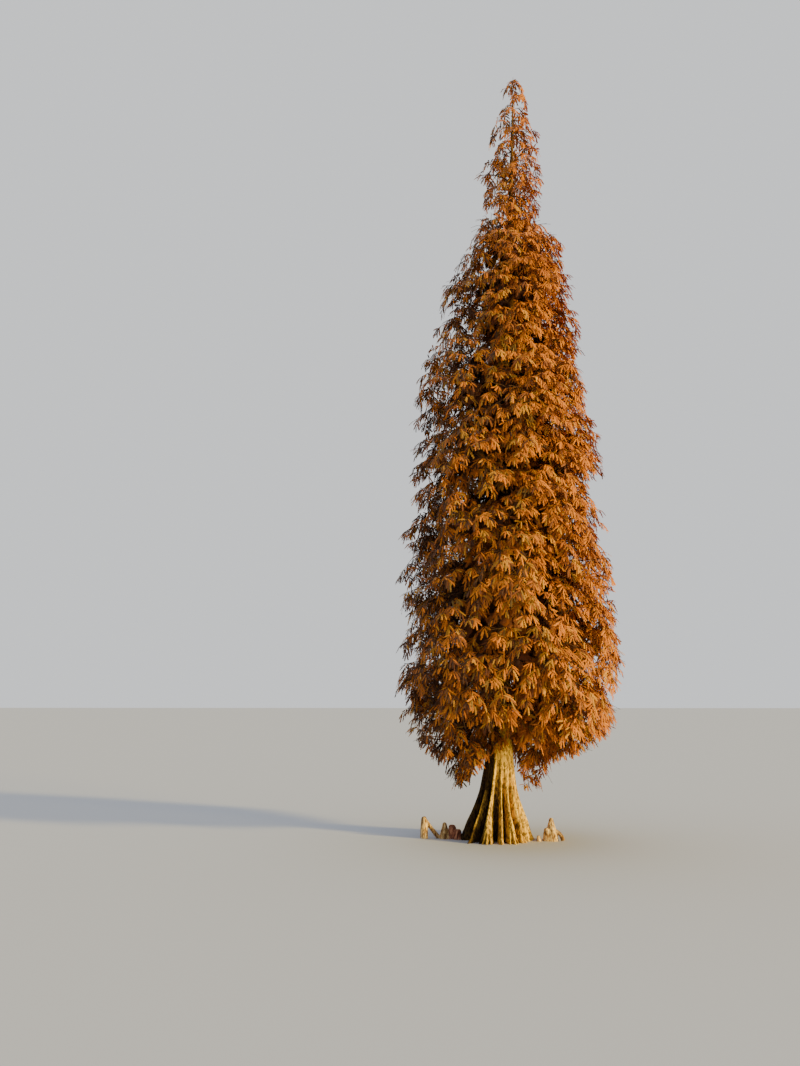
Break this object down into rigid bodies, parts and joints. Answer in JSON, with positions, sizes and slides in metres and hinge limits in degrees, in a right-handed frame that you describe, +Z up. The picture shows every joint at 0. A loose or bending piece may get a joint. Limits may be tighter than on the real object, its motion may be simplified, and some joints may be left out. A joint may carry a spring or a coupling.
{
  "type": "bald cypress tree",
  "caption": "Slim cone-shaped bald cypress in rust-orange autumn foliage, its leaning trunk tapering up from a flared, ribbed foot with woody knees beside it.",
  "frame": {"origin": "middle of the flat cut under the trunk, at ground level", "axes": "+Z up, +X to the right as the picture shows the tree, -Y towards the viewer"},
  "size_m": [2.643, 2.6682, 9.9801],
  "materials": {
    "bark": "rough, fibrous",
    "limb_bark": "rough",
    "knee_bark": "smooth worn bark",
    "foliage": "matte needles"
  },
  "bodies": {
    "root": {"trunk": "bark", "bough_01": "limb_bark", "bough_02": "limb_bark", "bough_03": "limb_bark", "bough_04": "limb_bark", "bough_05": "limb_bark", "bough_06": "limb_bark", "bough_07": "limb_bark", "bough_08": "limb_bark", "bough_09": "limb_bark", "bough_10": "limb_bark", "bough_11": "limb_bark", "bough_12": "limb_bark", "foliage_01": "foliage", "foliage_02": "foliage", "foliage_03": "foliage", "foliage_04": "foliage", "foliage_05": "foliage", "foliage_06": "foliage", "foliage_07": "foliage", "foliage_08": "foliage", "foliage_09": "foliage", "foliage_10": "foliage", "foliage_11": "foliage", "foliage_12": "foliage", "foliage_13": "foliage", "foliage_14": "foliage", "foliage_15": "foliage", "foliage_16": "foliage", "foliage_17": "foliage", "foliage_18": "foliage", "foliage_19": "foliage", "foliage_20": "foliage", "foliage_21": "foliage", "foliage_22": "foliage", "foliage_23": "foliage", "foliage_24": "foliage", "foliage_25": "foliage", "foliage_26": "foliage", "foliage_27": "foliage", "foliage_28": "foliage", "foliage_29": "foliage", "foliage_30": "foliage", "foliage_31": "foliage", "foliage_32": "foliage", "foliage_33": "foliage", "foliage_34": "foliage", "foliage_35": "foliage", "foliage_36": "foliage", "foliage_37": "foliage", "foliage_38": "foliage", "foliage_39": "foliage", "foliage_top": "foliage", "knee_left_outer": "knee_bark", "knee_left_middle": "knee_bark", "knee_left_inner": "knee_bark", "knee_right": "knee_bark", "knee_right_small": "knee_bark"}
  },
  "joints": []
}
